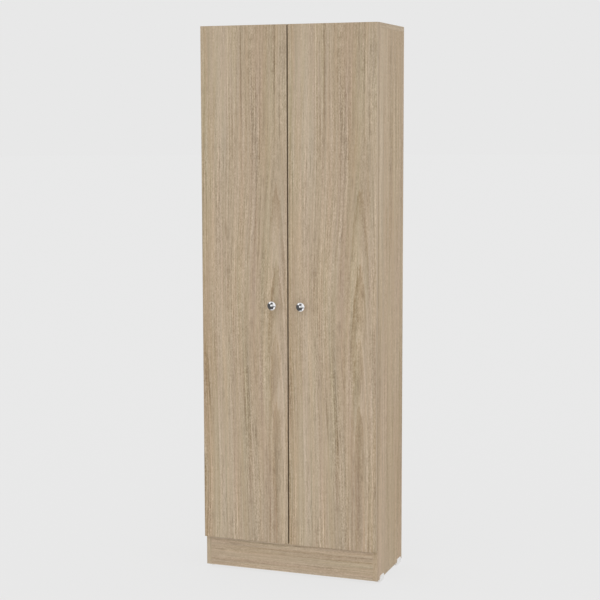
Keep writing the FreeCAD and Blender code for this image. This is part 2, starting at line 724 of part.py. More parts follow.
        # mounting plate on the side panel: wings for its two screws and a rail under the arm
        b = new_body(name + "_plate", at)
        sk = new_sketch(b, name + "_plate_outline", "YZ_Plane", D.board if s > 0 else -D.board)
        y = D.platefrom
        outline(
            sk,
            [
                (q(12.0), q(-5.0)), (y - 8.0, q(-5.0)), (y - 6.0, q(-20.0)), (y - 3.0, q(-23.0)), (y + 3.0, q(-23.0)),
                (y + 6.0, q(-20.0)), (y + 8.0, q(-5.0)), (q(54.0), q(-5.0)), (q(54.0), q(5.0)), (y + 8.0, q(5.0)),
                (y + 6.0, q(20.0)), (y + 3.0, q(23.0)), (y - 3.0, q(23.0)), (y - 6.0, q(20.0)), (y - 8.0, q(5.0)),
                (q(12.0), q(5.0)),
            ],
        )
        pad(b, name + "_plate_base", sk, q(1.6), back=(s < 0))
        sk = new_sketch(b, name + "_plate_rail_outline", "YZ_Plane", D.board if s > 0 else -D.board)
        rect(sk, q(12.0), q(-5.0), q(42.0), q(10.0))
        pad(b, name + "_plate_rail", sk, q(4.5), back=(s < 0))
        sk = new_sketch(b, name + "_plate_screw_sketch", "YZ_Plane", D.board if s > 0 else -D.board)
        circles(sk, [(y, D.platescrew), (y, -D.platescrew)], q(3.0))
        pocket(b, name + "_plate_screw_holes", sk, q(4.0), back=(s > 0))
        sk = new_sketch(b, name + "_plate_thread_sketch", "YZ_Plane", D.board if s > 0 else -D.board)
        circles(sk, [(q(20.0), ZERO), (q(42.0), ZERO)], q(1.95))
        pocket(b, name + "_plate_threads", sk, q(6.0), back=(s > 0))

# ---------------------------------------------------------------- small pieces, turned along +Z
def turned(label, pts, slot=None):
    b = new_body(label, part=False)
    sk = new_sketch(b, label + "_profile", "XZ_Plane")
    outline(sk, pts)
    revolve(b, label + "_turning", sk)
    if slot:
        z, w, length, depth = [q(c) for c in slot]
        for tag, a, c in (("a", length, w), ("b", w, length)):
            sk = new_sketch(b, "%s_slot_%s_sketch" % (label, tag), "XY_Plane", z)
            rect(sk, -0.5 * a, -0.5 * c, a, c)
            pocket(b, "%s_slot_%s" % (label, tag), sk, depth)
    return b


# pivot pins, lying along Z
pin = turned("pivot_pin", [(ZERO, q(-7.9)), (D.pinhalf, q(-7.9)), (D.pinhalf, q(7.9)), (ZERO, q(7.9))])
# screws with their head's underside at z = 0 and the head above
plate_screw = turned(
    "plate_screw",
    [(ZERO, q(-12.8)), (q(1.2), q(-12.8)), (q(2.9), q(-11.0)), (q(2.9), ZERO), (q(4.4), ZERO), (q(4.4), q(0.8), q(3.0)),
     (q(2.4), q(2.2)), (ZERO, q(2.2))],
    slot=(2.2, 0.9, 4.4, 1.3),
)
arm_screw = turned(
    "arm_screw",
    [(ZERO, q(-5.6)), (q(1.9), q(-5.6)), (q(1.9), ZERO), (q(3.4), ZERO), (q(3.4), q(1.0), q(1.4)), (q(2.2), q(2.0)),
     (ZERO, q(2.0))],
    slot=(2.0, 0.8, 3.6, 1.1),
)
cup_screw = turned(
    "cup_screw",
    [(ZERO, q(-12.6)), (q(0.4), q(-12.6)), (q(1.5), q(-10.5)), (q(1.5), ZERO), (q(3.3), ZERO), (q(3.3), q(0.5), q(2.2)),
     (q(1.8), q(1.6)), (ZERO, q(1.6))],
    slot=(1.6, 0.7, 3.2, 1.0),
)
# round-head bolt of the cam joint: thread below z = 0, shank and ball head above
cam_bolt = turned(
    "cam_bolt",
    [(ZERO, q(-10.8)), (q(1.4), q(-10.8)), (q(2.45), q(-9.8)), (q(2.45), ZERO), (q(3.6), ZERO), (q(3.6), q(1.2)),
     (q(1.9), q(1.2)), (q(1.9), q(29.6)), (q(1.5), q(29.9)), (q(1.5), q(31.4)), (q(3.1), q(32.2)), (q(3.1), q(34.6)),
     (q(2.2), q(35.4)), (ZERO, q(35.4))],
)
# fluted beech dowel, simplified to its outer size, with chamfered ends
dowel = turned(
    "dowel",
    [(ZERO, q(-10.0)), (D.dowelhalf - 0.8, q(-10.0)), (D.dowelhalf, q(-9.2)), (D.dowelhalf, q(19.2)),
     (D.dowelhalf - 0.8, q(20.0)), (ZERO, q(20.0))],
)
# shelf pin: shank in the hole below z = 0, collar and peg above
shelf_pin = turned(
    "shelf_pin",
    [(ZERO, q(-8.5)), (D.peghalf - 0.5, q(-8.5)), (D.peghalf, q(-8.0)), (D.peghalf, q(8.0)), (D.peghalf - 0.5, q(8.5)),
     (ZERO, q(8.5))],
)
back_nail = turned(
    "back_nail",
    [(ZERO, q(-18.0)), (q(0.7), q(-16.0)), (q(0.7), ZERO), (q(1.7), ZERO), (q(1.7), D.headproud), (ZERO, D.headproud)],
)
foot_nail = turned(
    "foot_nail",
    [(ZERO, q(-30.0)), (q(0.9), q(-28.0)), (q(0.9), ZERO), (q(2.2), ZERO), (q(2.2), q(0.9)), (ZERO, q(0.9))],
)
# soft dot: its glued face at z = 0
bumper = turned("bumper", [(ZERO, ZERO), (q(4.0), ZERO), (q(4.0), q(0.8), q(0.9)), (q(3.3), q(1.5)), (ZERO, q(1.5))])

# cam lock: a drum flush with the board's face at z = 0, open towards -X for the bolt
cam = new_body("cam_lock", part=False)
sk = new_sketch(cam, "cam_lock_circle", "XY_Plane")
circles(sk, [(ZERO, ZERO)], D.camhalf)
pad(cam, "cam_lock_drum", sk, q(12.4), back=True)
sk = new_sketch(cam, "cam_lock_head_room_sketch", "XY_Plane", q(-4.4))
rect(sk, q(-9.0), q(-3.5), q(12.5), q(7.0))
pocket(cam, "cam_lock_head_room", sk, q(7.2))
sk = new_sketch(cam, "cam_lock_driver_sketch_a", "XY_Plane")
rect(sk, q(-3.2), q(-0.7), q(6.4), q(1.4))
pocket(cam, "cam_lock_driver_a", sk, q(2.6))
sk = new_sketch(cam, "cam_lock_driver_sketch_b", "XY_Plane")
rect(sk, q(-0.7), q(-3.2), q(1.4), q(6.4))
pocket(cam, "cam_lock_driver_b", sk, q(2.6))

# ---------------------------------------------------------------- groups in place
F = front.value
L = left.value
Bd = D.board.value
ztop = (D.height - D.board).value
zlow = (floorz + half).value
board_joint(L + Bd / 2, ztop, (0, 0, -1), (1, 0, 0))
board_joint(-L - Bd / 2, ztop, (0, 0, -1), (-1, 0, 0))
board_joint(0.0, ztop, (0, 0, -1), (-1, 0, 0))
board_joint(0.0, (floorz + D.board).value, (0, 0, 1), (-1, 0, 0))
board_joint(L + Bd, zlow, (1, 0, 0), (0, 0, -1))
board_joint(-L - Bd, zlow, (-1, 0, 0), (0, 0, -1))
zs = (D.broomshelf + half).value
board_joint(L + Bd, zs, (1, 0, 0), (0, 0, -1))
board_joint(-Bd / 2, zs, (-1, 0, 0), (0, 0, -1))
zs = (D.fixedshelf + half).value
board_joint(Bd / 2, zs, (1, 0, 0), (0, 0, -1))
board_joint(-L - Bd, zs, (-1, 0, 0), (0, 0, -1))
# plinth ends: cams on its rear face, dowels above and below, and two dowels up into the bottom panel
pz = (D.foothigh + D.plinthhigh / 2).value
for x, d in ((L + Bd, 1.0), (-L - Bd, -1.0)):
    m = Vector(x, F + Bd / 2, pz)
    bolts.append(frame_at(m, (d, 0, 0)))
    cams.append(frame_at(m + Vector(d * V["camback"], Bd / 2, 0), (0, 1, 0), (d, 0, 0)))
    for z in (25.0, 75.0):
        dowels.append(frame_at(Vector(x, F + Bd / 2, D.foothigh.value + z), (d, 0, 0)))
    dowels.append(frame_at(Vector(x + d * 100.0, F + Bd / 2, floorz.value), (0, 0, -1)))

group("cam_locks", cam, cams)
group("cam_bolts", cam_bolt, bolts)
group("dowels", dowel, dowels)

pegs = []
for z in loose:
    for v in (V["camfront"], V["camrear"]):
        pegs.append(frame_at(Vector(-L - Bd, F + v, (z - D.peghalf).value), (-1, 0, 0)))
        pegs.append(frame_at(Vector(Bd / 2, F + v, (z - D.peghalf).value), (1, 0, 0)))
group("shelf_pins", shelf_pin, pegs)

nails = []
yb = (rear + D.backthick).value
for x in (L + Bd / 2, -4.0, 4.0, -L - Bd / 2):
    for i in range(12):
        nails.append(frame_at(Vector(x, yb, 150.0 + i * (1752.0 - 150.0) / 11), (0, 1, 0)))
for x in (-210.0, -110.0, 110.0, 210.0):
    for z in (zlow, (D.height - D.board / 2).value):
        nails.append(frame_at(Vector(x, yb, z), (0, 1, 0)))
group("back_nails", back_nail, nails)

# hinge pins and screws
for side, s in (("left", 1), ("right", -1)):
    x0 = s * L
    pins, cups = [], []
    for where, z in NAMES:
        pins.append(frame_at(Vector(x0 + s * D.pinin.value, F - D.pinfront.value, z.value), (0, 0, 1)))
        for k in (-1, 1):
            cups.append(
                frame_at(
                    Vector(x0 + s * D.cupscrewin.value, F - D.doorgap.value + 1.0, z.value + k * D.cupscrew.value),
                    (0, 1, 0),
                )
            )
    group(side + "_hinge_pins", pin, pins)
    group(side + "_cup_screws", cup_screw, cups)
plates, arms = [], []
for s in (1, -1):
    x0 = s * L
    for where, z in NAMES:
        for k in (-1, 1):
            plates.append(
                frame_at(Vector(x0 + s * (Bd + 1.6), F + D.platefrom.value, z.value + k * D.platescrew.value), (s, 0, 0))
            )
        for v in (20.0, 42.0):
            arms.append(frame_at(Vector(x0 + s * 22.5, F + v, z.value), (s, 0, 0)))
group("hinge_plate_screws", plate_screw, plates)
group("hinge_arm_screws", arm_screw, arms)

# soft dots near each door's free edge, over the front edges of the top and bottom panels
for side, s in (("left", -1), ("right", 1)):
    dots = [
        frame_at(Vector(s * 30.0, doorinner.value, z), (0, 1, 0))
        for z in (zlow, (D.height - D.board / 2).value)
    ]
    group(side + "_door_bumpers", bumper, dots)

# ---------------------------------------------------------------- plastic feet
nailed = []
for end in ("front", "rear"):
    for side, s in (("left", -1), ("right", 1)):
        label = "%s_%s_foot" % (end, side)
        x = -D.width / 2 if s < 0 else D.width / 2 - D.board
        y = front + D.footfront if end == "front" else rear - D.footrear - D.footlong
        b = new_body(label, (x, y, ZERO))
        sk = new_sketch(b, label + "_section", "XZ_Plane")
        w, k, hgt = D.board, D.footskin, D.foothigh
        outline(
            sk,
            [
                (-k + 1.6, ZERO), (w + k - 1.6, ZERO), (w + k, q(2.4)), (w + k, hgt + D.footwing), (w, hgt + D.footwing),
                (w, hgt), (ZERO, hgt), (ZERO, hgt + D.footwing), (-k, hgt + D.footwing), (-k, q(2.4)),
            ],
        )
        block = pad(b, label + "_block", sk, D.footlong, back=True)
        top = (D.foothigh + D.footwing).value

        def upright_end(e, top=top, long=D.footlong.value):
            c = e.BoundBox
            return c.XLength > 0.5 and c.YLength < 1e-6 and c.ZLength < 1e-6 and abs(c.ZMax - top) < 1e-4

        soften(b, label + "_wing_corners", block, q(3.5), pick=upright_end, chamfer=True)
        # nail seats, open below
        sk = new_sketch(b, label + "_seat_sketch", "XY_Plane")
        seats = [(w / 2, D.footlong / 2 - D.footnail), (w / 2, D.footlong / 2 + D.footnail)]
        circles(sk, seats, q(3.0))
        pocket(b, label + "_nail_seats", sk, q(6.0), back=True)
        sk = new_sketch(b, label + "_nail_hole_sketch", "XY_Plane")
        circles(sk, seats, q(0.95))
        pocket(b, label + "_nail_holes", sk, q(12.0), back=True)
        for off in (-D.footnail.value, D.footnail.value):
            nailed.append(frame_at(Vector((x + w / 2).value, (y + D.footlong / 2).value + off, 6.0), (0, 0, -1)))
group("foot_nails", foot_nail, nailed)

# ---------------------------------------------------------------- check and write
doc.recompute()
bad = [o.Name for o in doc.Objects if "Invalid" in o.State or "Error" in o.State]
if bad:
    raise RuntimeError("failed objects: " + ", ".join(bad))
os.makedirs("parts", exist_ok=True)
for old in os.listdir("parts"):
    if old.endswith(".step") and old[:-5] not in PARTS:
        os.remove(os.path.join("parts", old))
if len(PARTS) > 60:
    raise RuntimeError("too many files: %d" % len(PARTS))
labels = [o.Label for o in PARTS.values()]
if sorted(labels) != sorted(PARTS):
    raise RuntimeError("a label differs from its node")
for label, obj in sorted(PARTS.items()):
    shape = obj.Shape
    if shape.isNull() or not shape.isValid():
        raise RuntimeError(label + " has no valid shape")
    if not shape.Solids:
        raise RuntimeError(label + " has no solid")
for label, obj in sorted(PARTS.items()):
    obj.Shape.exportStep(os.path.join("parts", label + ".step"))
print("%d parts written" % len(PARTS))
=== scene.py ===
import json
import math

import bpy
from mathutils import Matrix, Vector


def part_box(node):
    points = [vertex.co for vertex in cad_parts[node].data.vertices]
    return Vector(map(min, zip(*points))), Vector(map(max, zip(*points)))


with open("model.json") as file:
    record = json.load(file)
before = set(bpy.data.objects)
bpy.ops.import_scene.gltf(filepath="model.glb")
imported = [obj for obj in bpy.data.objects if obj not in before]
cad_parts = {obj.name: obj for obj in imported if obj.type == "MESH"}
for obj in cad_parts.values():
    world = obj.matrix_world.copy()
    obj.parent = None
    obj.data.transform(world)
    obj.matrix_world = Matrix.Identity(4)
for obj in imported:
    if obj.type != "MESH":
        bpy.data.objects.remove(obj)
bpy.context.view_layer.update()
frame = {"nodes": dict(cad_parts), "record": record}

scene = bpy.context.scene
nodes = frame["nodes"]
slots = {row["node"]: row["material_slot"] for row in frame["record"]["subparts"]}


# ---------------------------------------------------------------- node tree helper
class Net:
    """Writes one node tree. Every argument may be a socket or a constant."""

    def __init__(self, tree):
        self.tree = tree
        tree.nodes.clear()

    def new(self, kind, **settings):
        node = self.tree.nodes.new(kind)
        for key, value in settings.items():
            setattr(node, key, value)
        return node

    def put(self, socket, value):
        if isinstance(value, bpy.types.NodeSocket):
            self.tree.links.new(value, socket)
        elif value is not None:
            if socket.type == "RGBA" and len(value) == 3:
                value = (*value, 1.0)
            socket.default_value = value

    def math(self, op, a, b=None, c=None, clamp=False):
        node = self.new("ShaderNodeMath", operation=op, use_clamp=clamp)
        for socket, value in zip(node.inputs, (a, b, c)):
            self.put(socket, value)
        return node.outputs[0]

    def add(self, *terms):
        total = terms[0]
        for term in terms[1:]:
            total = self.math("ADD", total, term)
        return total

    def sub(self, a, b):
        return self.math("SUBTRACT", a, b)

    def mul(self, a, b):
        return self.math("MULTIPLY", a, b)

    def madd(self, a, b, c):
        return self.math("MULTIPLY_ADD", a, b, c)

    def span(self, value, lo, hi, out_lo=0.0, out_hi=1.0, kind="SMOOTHSTEP"):
        node = self.new("ShaderNodeMapRange", interpolation_type=kind, clamp=True)
        for name, v in (("Value", value), ("From Min", lo), ("From Max", hi), ("To Min", out_lo), ("To Max", out_hi)):
            self.put(node.inputs[name], v)
        return node.outputs["Result"]

    def vector(self, x, y, z):
        node = self.new("ShaderNodeCombineXYZ")
        for socket, value in zip(node.inputs, (x, y, z)):
            self.put(socket, value)
        return node.outputs[0]

    def split(self, vector):
        node = self.new("ShaderNodeSeparateXYZ")
        self.put(node.inputs[0], vector)
        return node.outputs[0], node.outputs[1], node.outputs[2]

    def vmath(self, op, a, b=None):
        node = self.new("ShaderNodeVectorMath", operation=op)
        self.put(node.inputs[0], a)
        if b is not None:
            self.put(node.inputs[1], b)
        return node.outputs["Value"] if op in ("DOT_PRODUCT", "LENGTH", "DISTANCE") else node.outputs["Vector"]

    def scaled(self, colour, factor):
        node = self.new("ShaderNodeVectorMath", operation="SCALE")
        self.put(node.inputs[0], colour)
        self.put(node.inputs["Scale"], factor)
        return node.outputs["Vector"]

    def noise(self, vector, scale=1.0, detail=0.0, rough=0.5):
        node = self.new("ShaderNodeTexNoise", noise_dimensions="3D")
        self.put(node.inputs["Vector"], vector)
        self.put(node.inputs["Scale"], scale)
        self.put(node.inputs["Detail"], detail)
        self.put(node.inputs["Roughness"], rough)
        return node.outputs[0]

    def signed(self, vector, scale=1.0, detail=0.0, rough=0.5):
        """The noise about zero, roughly -1 to 1."""
        return self.madd(self.noise(vector, scale, detail, rough), 2.0, -1.0)

    def mix(self, factor, a, b):
        node = self.new("ShaderNodeMix", data_type="FLOAT")
        self.put(node.inputs[0], factor)
        self.put(node.inputs[2], a)
        self.put(node.inputs[3], b)
        return node.outputs[0]

    def blend(self, factor, a, b, how="MIX"):
        node = self.new("ShaderNodeMix", data_type="RGBA", blend_type=how)
        self.put(node.inputs[0], factor)
        self.put(node.inputs[6], a)
        self.put(node.inputs[7], b)
        return node.outputs[2]

    def bump(self, height, strength, distance):
        node = self.new("ShaderNodeBump")
        self.put(node.inputs["Height"], height)
        node.inputs["Strength"].default_value = strength
        node.inputs["Distance"].default_value = distance
        return node.outputs[0]

    def surface(self, **inputs):
        """The one Principled shader and the output."""
        shader = self.new("ShaderNodeBsdfPrincipled")
        for name, value in inputs.items():
            self.put(shader.inputs[name.replace("_", " ")], value)
        out = self.new("ShaderNodeOutputMaterial")
        self.tree.links.new(shader.outputs[0], out.inputs["Surface"])
        return shader


def material(name):
    made = bpy.data.materials.new(name)
    made.use_nodes = True
    return made, Net(made.node_tree)


def wear(name, made):
    """Puts a material on every slot of a CAD node."""
    obj = nodes[name]
    if not obj.material_slots:
        obj.data.materials.append(made)
    for s in obj.material_slots:
        s.material = made


# ---------------------------------------------------------------- oak decor board
WOOD = (0.4763, 0.3708, 0.2535)
BROWN = (0.2100, 0.1500, 0.0930)
# one step of each is a step of one part in 255 on the finished surface
SHADE = (0.00634, 0.00552, 0.00451)
WARMTH = (0.00634, 0.0, -0.00451)
BLUSH = (0.00211, -0.00368, 0.00150)
# what a soft feature of the figure adds: shade, warmth, blush
FEATURES = {
    "veil": (7.0, -1.0, 0.1),
    "umber": (-6.0, 0.9, 0.0),
    "russet": (-6.0, 2.2, 0.4),
    "straw": (1.0, 0.4, -1.2),
    "ash": (2.0, -0.8, 0.6),
    "pale": (9.0, -1.2, 0.2),
}
QUIET = ("veil", "pale")  # the grain is softer there


def oak_pattern(net, u, v, seed, flame=None, marks=(), bends=(), warm=(0.0, 0.0), strong=1.0, calm=None):
    """Oak grain along v, in metres: colour, height and gloss of the decor.

    flame is (u0, depth at v=0, loss of depth per metre, share) of the cathedral figure.
    warm is the (warmth, blush) of the whole board, strong scales its contrast, and calm, a socket, all variation.
    marks are (kind, u0, v0, half width, half length, lean, strength).
    bends are (u0, v0, half width, half length, shift) where the grain lines swing sideways.
    """
    def bell(u0, v0, half_u, half_v, lean=0.0):
        du = net.math("DIVIDE", net.sub(net.sub(u, u0), net.mul(net.sub(v, v0), lean)) if lean else net.sub(u, u0), half_u)
        dv = net.math("DIVIDE", net.sub(v, v0), half_v)
        return net.math("EXPONENT", net.mul(net.add(net.mul(du, du), net.mul(dv, dv)), -1.0))

    slow = net.vector(net.mul(u, 4.0), net.mul(v, 1.15), net.math("ADD", seed, 3.7))
    sway = net.mul(net.signed(slow, detail=1.0), 0.014)
    quick = net.vector(net.mul(u, 14.0), net.mul(v, 3.6), net.math("ADD", seed, 9.2))
    sway = net.madd(net.signed(quick, detail=1.0), 0.0022, sway)
    for u0, v0, half_u, half_v, shift in bends:
        sway = net.madd(bell(u0, v0, half_u, half_v), shift, sway)
    uneven_rows = net.vector(net.mul(u, 56.0), net.mul(v, 1.3), net.math("ADD", seed, 14.6))
    across = net.add(u, sway, net.mul(net.signed(uneven_rows, detail=1.0), 0.0038))  # rows crowd and spread

    def grain(fu, fv, shift, detail=0.0, rough=0.5, at=across, layer=seed):
        where = net.vector(net.mul(at, fu), net.mul(v, fv), net.math("ADD", layer, shift))
        return net.noise(where, detail=detail, rough=rough)

    def lines(at, layer):
        """The long lines of the grain, fine enough to break up at arm's length."""
        def streak(fu, fv, shift, detail=0.0, rough=0.5):
            return net.madd(grain(fu, fv, shift, detail, rough, at, layer), 2.0, -1.0)
        middle = streak(54.0, 0.9, 23.0, 1.0, 0.5)
        close = streak(137.0, 1.1, 26.0, 1.0, 0.4)
        line = streak(188.0, 1.2, 29.0, 1.0, 0.45)
        thin = streak(250.0, 2.2, 33.0, 1.0, 0.6)
        return net.add(net.mul(middle, 7.0), net.mul(close, 14.5), net.mul(line, 18.5), net.mul(thin, 24.5))

    long_lines = lines(across, seed)
    broad = net.madd(grain(19.0, 0.45, 11.0, 1.0, 0.5), 2.0, -1.0)
    fine = net.madd(grain(430.0, 7.0, 37.0, 1.0, 0.6), 2.0, -1.0)
    short = net.madd(grain(235.0, 37.0, 51.0, 1.0, 0.5), 2.0, -1.0)
    grit = net.madd(grain(390.0, 140.0, 59.0, 1.0, 0.6), 2.0, -1.0)
    if flame:
        u0, deep, loss, share = flame
        wander = net.signed(net.vector(net.mul(v, 2.6), net.math("ADD", seed, 1.3), 0.0), detail=1.0)
        depth = net.math("MAXIMUM", net.add(net.madd(v, -loss, deep), net.mul(wander, 0.0016)), 0.0268)
        drift = net.signed(net.vector(net.mul(v, 1.7), net.math("ADD", seed, 17.0), 0.0), detail=1.0)
        off = net.add(net.sub(u, u0), net.mul(sway, 0.35), net.mul(drift, 0.006))
        ring = net.math("SQRT", net.add(net.mul(off, off), net.mul(depth, depth)))
        side = net.madd(off, 21.0, seed)  # keeps the two flanks from mirroring each other
        away = net.math("ABSOLUTE", off)
        inside = net.mul(net.mul(net.span(away, 0.040, 0.070, 1.0, 0.0), net.span(v, 0.30, 0.55)), share)
        long_lines = net.mix(inside, long_lines, lines(ring, side))

    # the grain is lively in some patches and nearly flat in others
    patch = net.add(net.mul(grain(21.0, 1.7, 41.0, 1.0, 0.5), 0.6), net.mul(grain(58.0, 5.5, 45.0, 1.0, 0.5), 0.4))
    lively = net.span(patch, 0.36, 0.64, 0.56, 1.40)
    spots = [(kind, net.mul(bell(mu, mv, half_u, half_v, lean), strength)) for kind, mu, mv, half_u, half_v, lean, strength in marks]
    for kind, spot in spots:
        if kind in QUIET:
            lively = net.mul(lively, net.madd(spot, -0.32, 1.0))

    # shade of the grain, and how warm and how pink its bands are
    tone = net.add(net.mul(broad, 7.0),
                   net.mul(net.add(long_lines, net.mul(fine, 11.0), net.mul(short, 19.0), net.mul(grit, 26.0)), lively))
    warmth = net.add(warm[0], net.mul(net.madd(grain(26.0, 0.8, 67.0, 1.0, 0.6), 2.0, -1.0), 3.0),
                     net.mul(net.madd(grain(120.0, 4.0, 71.0), 2.0, -1.0), 2.2))
    blush = net.add(warm[1], net.mul(net.madd(grain(22.0, 1.0, 83.0, 1.0, 0.6), 2.0, -1.0), 3.2),
                    net.mul(net.madd(grain(150.0, 3.0, 89.0), 2.0, -1.0), 2.2))

    # arches of the flame, dark under each crown and thinning out below it
    if flame:
        ragged = net.signed(net.vector(net.mul(u, 210.0), net.mul(v, 16.0), net.math("ADD", seed, 131.0)), detail=2.0, rough=0.6)
        turn = net.madd(net.sub(0.0548, ring), 1.0 / 0.0078, net.mul(ragged, 0.34))
        turn = net.math("SUBTRACT", turn, net.math("FLOOR", turn))
        late = net.math("EXPONENT", net.mul(turn, -3.0))
        near = net.mul(net.mul(net.span(away, 0.012, 0.052, 1.0, 0.0), net.span(v, 0.22, 0.52)), share)
        uneven = net.span(net.noise(net.vector(net.mul(v, 5.0), net.mul(away, 30.0), net.math("ADD", seed, 151.0)), detail=1.0), 0.3, 0.7, 0.55, 1.25)
        tone = net.madd(net.mul(net.mul(near, late), uneven), -15.0, net.mul(tone, net.madd(near, -0.25, 1.0)))
        tone = net.madd(net.mul(near, net.span(turn, 0.70, 1.0)), 4.5, tone)
        warmth = net.madd(net.mul(near, late), 2.2, warmth)

    # soft features of the figure
    dark = None
    for kind, spot in spots:
        if kind == "dark":
            dark = spot if dark is None else net.math("MAXIMUM", dark, spot)
        else:
            lift, warmer, pinker = FEATURES[kind]
            tone, warmth, blush = net.madd(spot, lift, tone), net.madd(spot, warmer, warmth), net.madd(spot, pinker, blush)

    # short dark pores in loose swarms, and light flecks
    swarm = grain(34.0, 3.2, 91.0, 1.0)
    if dark is not None:
        swarm = net.madd(dark, 0.35, swarm)
    dash = net.span(net.madd(swarm, 0.45, grain(290.0, 17.0, 97.0, 1.0, 0.4)), 0.82, 0.98)
    pore = net.span(net.madd(swarm, 0.25, grain(1150.0, 62.0, 103.0)), 0.78, 0.92)
    fleck = net.span(grain(230.0, 7.0, 113.0, 1.0), 0.60, 0.80)
    tone = net.madd(fleck, 11.0, tone)
    if dark is not None:
        tone = net.madd(dark, -15.0, tone)
        warmth = net.madd(dark, 0.6, warmth)
    if calm is not None:
        tone, warmth, blush = net.mul(tone, calm), net.mul(warmth, calm), net.mul(blush, calm)
    colour = WOOD
    for share_of, step in ((net.madd(tone, strong, 1.3), SHADE), (warmth, WARMTH), (blush, BLUSH)):
        colour = net.vmath("ADD", colour, net.scaled(step, share_of))
    colour = net.blend(net.add(net.mul(dash, 0.30), net.mul(pore, 0.24)), colour, BROWN)
    height = net.add(net.mul(fine, 0.35), net.mul(long_lines, 0.012), net.mul(short, 0.15), net.mul(pore, -1.0), net.mul(dash, -0.5))
    gloss = net.add(net.madd(fine, -0.04, 0.50), net.mul(pore, 0.12), net.mul(dash, 0.06))
    return colour, height, gloss


def oak_board(name, grain, seed, flame=None, marks=(), bends=(), shows=-1, warm=(0.0, 0.0), strong=1.0, gap_shade_at=None):
    """One board with its faces, banded edges and raw core where it is drilled.

    grain is the axis of the grain, 0 to 2, and shows the side of the board that its figure is on.
    The last argument is the place across the grain of the long edges that meet at the gap between the doors; painted
    shade darkens those edge faces there, standing for the shadow in the gap.
    """
    lo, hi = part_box(name)
    size = [hi[i] - lo[i] for i in range(3)]
    thick = min(range(3), key=lambda i: size[i])
    wide = ({0, 1, 2} - {thick, grain}).pop()
    made, net = material("oak_decor_" + name)
    where = net.new("ShaderNodeTexCoord")
    point = net.split(where.outputs["Object"])
    facing = net.split(where.outputs["Normal"])
    flat = [net.math("ABSOLUTE", f) for f in facing]
    is_edge = net.math("GREATER_THAN", flat[wide], net.math("MAXIMUM", flat[thick], flat[grain]))
    is_end = net.math("GREATER_THAN", flat[grain], net.math("MAXIMUM", flat[thick], flat[wide]))
    any_edge = net.math("MAXIMUM", is_edge, is_end)
    # u runs across the grain and v along it, both from a corner of the board
    across = net.sub(point[wide], lo[wide])
    along = net.sub(hi[grain], point[grain]) if grain == 2 else net.sub(point[grain], lo[grain])
    depth = net.sub(point[thick], lo[thick])
    u = net.mix(any_edge, across, net.madd(depth, 1.0, 0.31))
    v = net.mix(is_end, along, net.madd(across, 1.0, 0.57))
    # the far face and the edges take other pieces of the same decor
    behind = net.math("GREATER_THAN", net.mul(facing[thick], -shows), 0.0)
    shift = net.add(net.mul(behind, 5.3), net.mul(is_edge, 2.1), net.mul(is_end, 8.9))
    front = None
    if flame or marks:
        front = net.mul(net.sub(1.0, any_edge), net.sub(1.0, behind))
        if flame:
            flame = (flame[0], flame[1], flame[2], front)
        marks = [(*m[:6], net.mul(front, m[6])) for m in marks]
        bends = [(*b[:4], net.mul(front, b[4])) for b in bends]
    colour, height, gloss = oak_pattern(net, u, v, net.math("ADD", shift, seed), flame, marks, bends, warm, strong,
                                       calm=net.madd(any_edge, -0.5, 1.0))
    # painted shade: edge faces within 3 mm of that place, inside the gap between the doors, are blended towards brown
    # for the shadow in the gap
    if gap_shade_at is not None:
        in_door_gap = net.math("LESS_THAN", net.math("ABSOLUTE", net.sub(point[wide], gap_shade_at)), 0.003)
        colour = net.blend(net.mul(net.mul(in_door_gap, is_edge), 0.42), colour, BROWN)
    # band joints just in from the arrises, and the core inside the drillings
    inset = [net.sub(size[i] / 2, net.math("ABSOLUTE", net.sub(point[i], (lo[i] + hi[i]) / 2))) for i in range(3)]
    rim = net.math("MINIMUM", inset[wide], inset[grain])
    joint = net.span(net.math("ABSOLUTE", net.sub(rim, 0.0011)), 0.00006, 0.00022, 1.0, 0.0)
    joint = net.mul(joint, net.sub(1.0, any_edge))
    colour = net.blend(net.mul(joint, 0.45), colour, BROWN)
    deep = net.math("MINIMUM", net.math("MINIMUM", inset[0], inset[1]), inset[2])
    core = net.math("GREATER_THAN", deep, 0.0006)
    chip = net.noise(net.new("ShaderNodeTexCoord").outputs["Object"], scale=620.0, detail=3.0, rough=0.7)
    raw = net.blend(net.span(chip, 0.36, 0.66), (0.300, 0.205, 0.120), (0.560, 0.420, 0.260))
    colour = net.blend(core, colour, raw)
    height = net.mix(core, height, net.mul(chip, 2.0))
    gloss = net.mix(core, gloss, 0.85)
    net.surface(Base_Color=colour, Roughness=gloss, Normal=net.bump(height, 0.22, 0.00025))
    wear(name, made)
    return made


